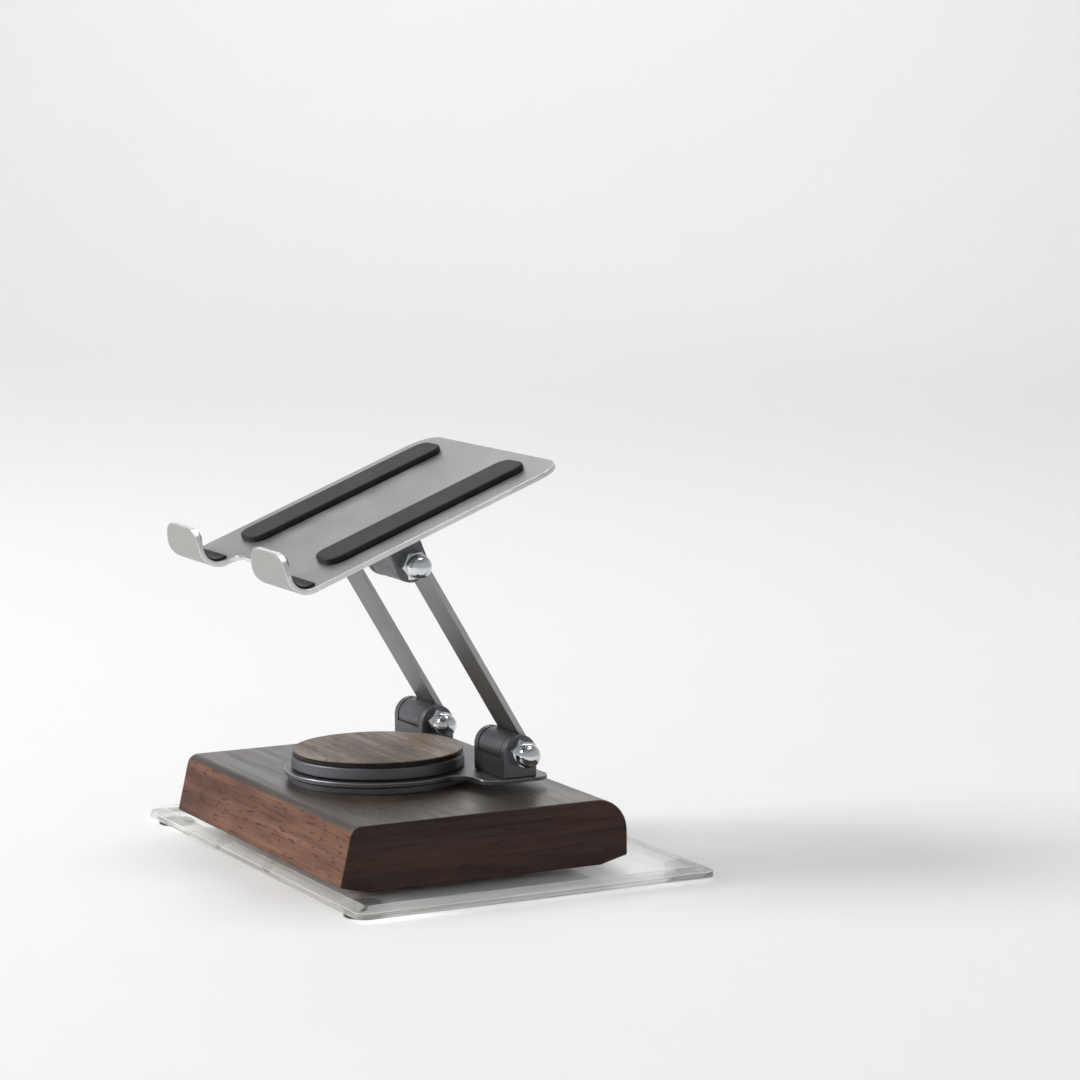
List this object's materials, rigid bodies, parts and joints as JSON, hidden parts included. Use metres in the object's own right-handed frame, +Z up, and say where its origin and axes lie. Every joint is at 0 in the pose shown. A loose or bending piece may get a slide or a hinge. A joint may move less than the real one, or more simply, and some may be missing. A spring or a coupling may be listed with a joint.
{
  "type": "tablet stand",
  "caption": "Tablet stand: walnut block on a clear plate, swivel disc with walnut inlay, hinged metal arms and a tilting hooked holder with soft pads.",
  "frame": {"origin": "middle of the footprint of the whole stand, on the table under its feet", "axes": "+X to the right of the person using it and along the longest side, +Y away from that person, +Z up"},
  "size_m": [0.151, 0.1108, 0.1108],
  "materials": {
    "acrylic": "clear cast acrylic, polished bevels",
    "bond_film": "clear adhesive film",
    "foot_rubber": "matt black rubber",
    "walnut": "oiled black walnut, open pores, satin",
    "walnut_inlay": "oiled black walnut veneer disc, satin",
    "dark_aluminium": "dark grey anodised, fine bead blast",
    "arm_steel": "mid grey satin, bright cut edges",
    "holder_aluminium": "silver anodised, fine bead blast, bright cut edges",
    "chrome": "polished nickel-chrome plate",
    "steel": "zinc-plated steel fasteners",
    "nylon": "dark nylon washers and foam tape",
    "pad_rubber": "soft black silicone sheet"
  },
  "bodies": {
    "base": {"clear_base_plate": "acrylic", "foot_front_left": "foot_rubber", "foot_back_left": "foot_rubber", "foot_front_right": "foot_rubber", "foot_back_right": "foot_rubber", "bond_film": "bond_film", "walnut_block": "walnut", "pivot_bolt": "steel", "pivot_bolt_washer": "steel", "lower_disc": "dark_aluminium", "disc_screw_1": "steel", "disc_screw_2": "steel", "disc_screw_3": "steel", "lower_thrust_washer": "nylon", "upper_thrust_washer": "nylon", "disc_spring": "steel", "pivot_nut": "steel"},
    "swivel": {"swivel_plate": "dark_aluminium", "cap_tape_ring": "nylon", "cap_ring": "dark_aluminium", "walnut_inlay": "walnut_inlay", "base_lug_left": "dark_aluminium", "base_lug_screw_left_1": "steel", "base_lug_screw_left_2": "steel", "base_hinge_bolt_left": "steel", "base_acorn_nut_left": "chrome", "base_friction_washer_left_1": "nylon", "base_friction_washer_left_2": "nylon", "base_lug_right": "dark_aluminium", "base_lug_screw_right_1": "steel", "base_lug_screw_right_2": "steel", "base_hinge_bolt_right": "steel", "base_acorn_nut_right": "chrome", "base_friction_washer_right_1": "nylon", "base_friction_washer_right_2": "nylon"},
    "arms": {"arm_left": "arm_steel", "arm_right": "arm_steel"},
    "holder": {"holder_plate": "holder_aluminium", "holder_lug_left": "dark_aluminium", "holder_lug_screw_left_1": "steel", "holder_lug_screw_left_2": "steel", "holder_hinge_bolt_left": "steel", "holder_acorn_nut_left": "chrome", "holder_friction_washer_left_1": "nylon", "holder_friction_washer_left_2": "nylon", "holder_lug_right": "dark_aluminium", "holder_lug_screw_right_1": "steel", "holder_lug_screw_right_2": "steel", "holder_hinge_bolt_right": "steel", "holder_acorn_nut_right": "chrome", "holder_friction_washer_right_1": "nylon", "holder_friction_washer_right_2": "nylon", "face_pad_left": "pad_rubber", "face_pad_right": "pad_rubber", "hook_pad_left": "pad_rubber", "hook_pad_right": "pad_rubber"}
  },
  "joints": [
    {"name": "swivel_turn", "type": "hinge", "parent": "base", "child": "swivel", "pos_m": [0.0025, -0.0105, 0.0252], "axis": [0, 0, 1], "continuous": true},
    {"name": "arm_tilt", "type": "hinge", "parent": "swivel", "child": "arms", "pos_m": [0.0025, 0.0156, 0.03214], "axis": [1, 0, 0], "range_deg": [-75, 25]},
    {"name": "holder_tilt", "type": "hinge", "parent": "arms", "child": "holder", "pos_m": [0.0025, -0.01587, 0.08556], "axis": [1, 0, 0], "range_deg": [-80, 75]}
  ]
}
